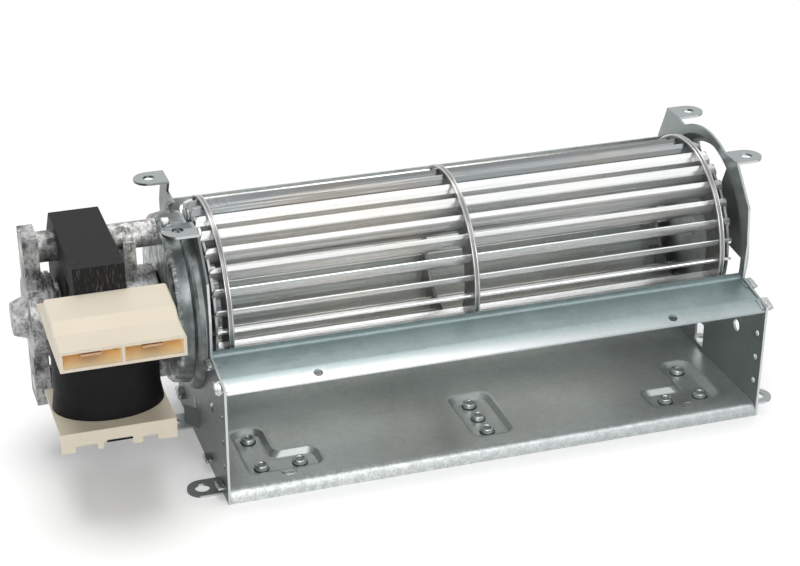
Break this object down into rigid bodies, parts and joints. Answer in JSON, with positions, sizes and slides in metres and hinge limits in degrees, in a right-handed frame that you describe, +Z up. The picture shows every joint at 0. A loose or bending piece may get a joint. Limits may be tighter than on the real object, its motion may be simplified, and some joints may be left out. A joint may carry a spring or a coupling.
{
  "type": "cross flow fan",
  "caption": "Cross flow fan with a long caged impeller between galvanised side plates, a scroll outlet at the front and a shaded pole motor at one end.",
  "frame": {"origin": "midway between the two front foot holes, on the surface the fan stands on", "axes": "+X along the rotor axis from the motor to the idle end, +Y from the outlet to the back, +Z up"},
  "size_m": [0.2547, 0.0995, 0.086],
  "materials": {
    "galvanised": "zinc coated sheet, bluish grey, satin",
    "blade_zinc": "bright zinc coated sheet",
    "bright_ring": "polished rim",
    "casting": "rough light grey die casting",
    "lamination": "dark lacquered laminations, satin",
    "winding": "black tape over the winding",
    "ivory": "ivory moulding",
    "tinned": "tinned brass tab",
    "copper": "bare copper",
    "bronze": "oil filled sintered bronze",
    "felt": "oil felt",
    "shaft_steel": "ground steel",
    "screw_zinc": "zinc plated screw",
    "silicone": "reddish brown rubber"
  },
  "bodies": {
    "casing": {"left_side_plate": "galvanised", "right_side_plate": "galvanised", "scroll_sheet": "galvanised", "tongue_sheet": "galvanised", "idle_bearing_rubber": "silicone", "idle_bearing_bush": "bronze", "stator_core": "lamination", "shading_rings": "copper", "coil_core": "lamination", "coil_winding": "winding", "bobbin": "ivory", "terminals": "tinned", "outer_bearing": "bronze", "inner_bearing": "bronze", "oil_felts": "felt", "bearing_keepers": "shaft_steel", "outer_bracket": "casting", "inner_bracket": "casting", "motor_screws": "screw_zinc", "plate_screws": "screw_zinc"},
    "impeller": {"blade_01": "blade_zinc", "blade_02": "blade_zinc", "blade_03": "blade_zinc", "blade_04": "blade_zinc", "blade_05": "blade_zinc", "blade_06": "blade_zinc", "blade_07": "blade_zinc", "blade_08": "blade_zinc", "blade_09": "blade_zinc", "blade_10": "blade_zinc", "blade_11": "blade_zinc", "blade_12": "blade_zinc", "blade_13": "blade_zinc", "blade_14": "blade_zinc", "blade_15": "blade_zinc", "blade_16": "blade_zinc", "blade_17": "blade_zinc", "blade_18": "blade_zinc", "blade_19": "blade_zinc", "blade_20": "blade_zinc", "blade_21": "blade_zinc", "blade_22": "blade_zinc", "blade_23": "blade_zinc", "blade_24": "blade_zinc", "blade_25": "blade_zinc", "blade_26": "blade_zinc", "blade_27": "blade_zinc", "blade_28": "blade_zinc", "left_ring": "bright_ring", "middle_ring": "bright_ring", "right_ring": "bright_ring", "drive_end_disc": "blade_zinc", "idle_end_disc": "blade_zinc", "drive_hub": "shaft_steel", "hub_set_screw": "screw_zinc", "stub_shaft": "shaft_steel", "rotor_core": "lamination", "rotor_cage": "casting", "motor_shaft": "shaft_steel"}
  },
  "joints": [
    {"name": "wheel_spin", "type": "hinge", "parent": "casing", "child": "impeller", "pos_m": [0, 0.0395, 0.051], "axis": [1, 0, 0], "continuous": true}
  ]
}
